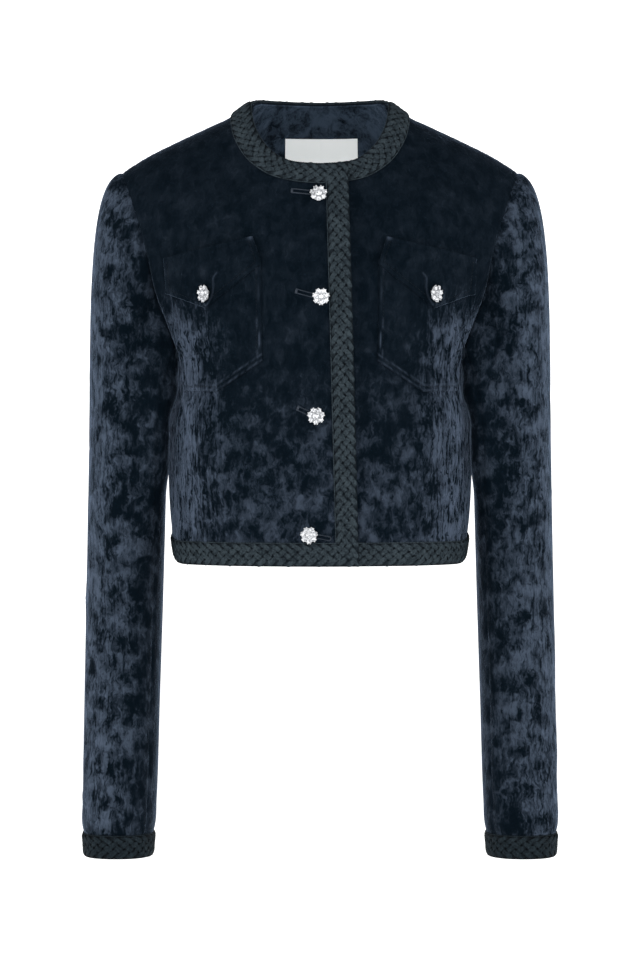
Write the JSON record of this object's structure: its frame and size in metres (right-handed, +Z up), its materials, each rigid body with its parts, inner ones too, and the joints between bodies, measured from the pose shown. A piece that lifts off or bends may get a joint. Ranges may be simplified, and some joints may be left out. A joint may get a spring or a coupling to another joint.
{
  "type": "jacket",
  "caption": "Cropped collarless velvet jacket with long sleeves, plaited braid edges, stone-set buttons and flapped chest patch pockets, hollow as if worn.",
  "frame": {"origin": "midway between the middles of the two shoulder seams, where the wearer's shoulders hold the jacket", "axes": "+Z up, -Y out of the front, +X to the wearer's left"},
  "size_m": [0.4358, 0.233, 0.6979],
  "materials": {
    "velvet": "crushed velvet pile, very dark navy",
    "braid": "matte slate plaited braid",
    "crystal": "clear cut stones in bright settings",
    "label": "woven off-white ribbon, bare"
  },
  "bodies": {
    "root": {"front_right": "velvet", "front_left": "velvet", "back": "velvet", "top_sleeve_right": "velvet", "top_sleeve_left": "velvet", "under_sleeve_right": "velvet", "under_sleeve_left": "velvet", "back_neck_facing": "velvet", "pocket_right": "velvet", "pocket_left": "velvet", "pocket_flap_right": "velvet", "pocket_flap_left": "velvet", "neck_braid": "braid", "front_braid": "braid", "hem_braid": "braid", "cuff_braid_right": "braid", "cuff_braid_left": "braid", "button_1": "crystal", "button_2": "crystal", "button_3": "crystal", "button_4": "crystal", "pocket_button_right": "crystal", "pocket_button_left": "crystal", "label": "label"}
  },
  "joints": []
}
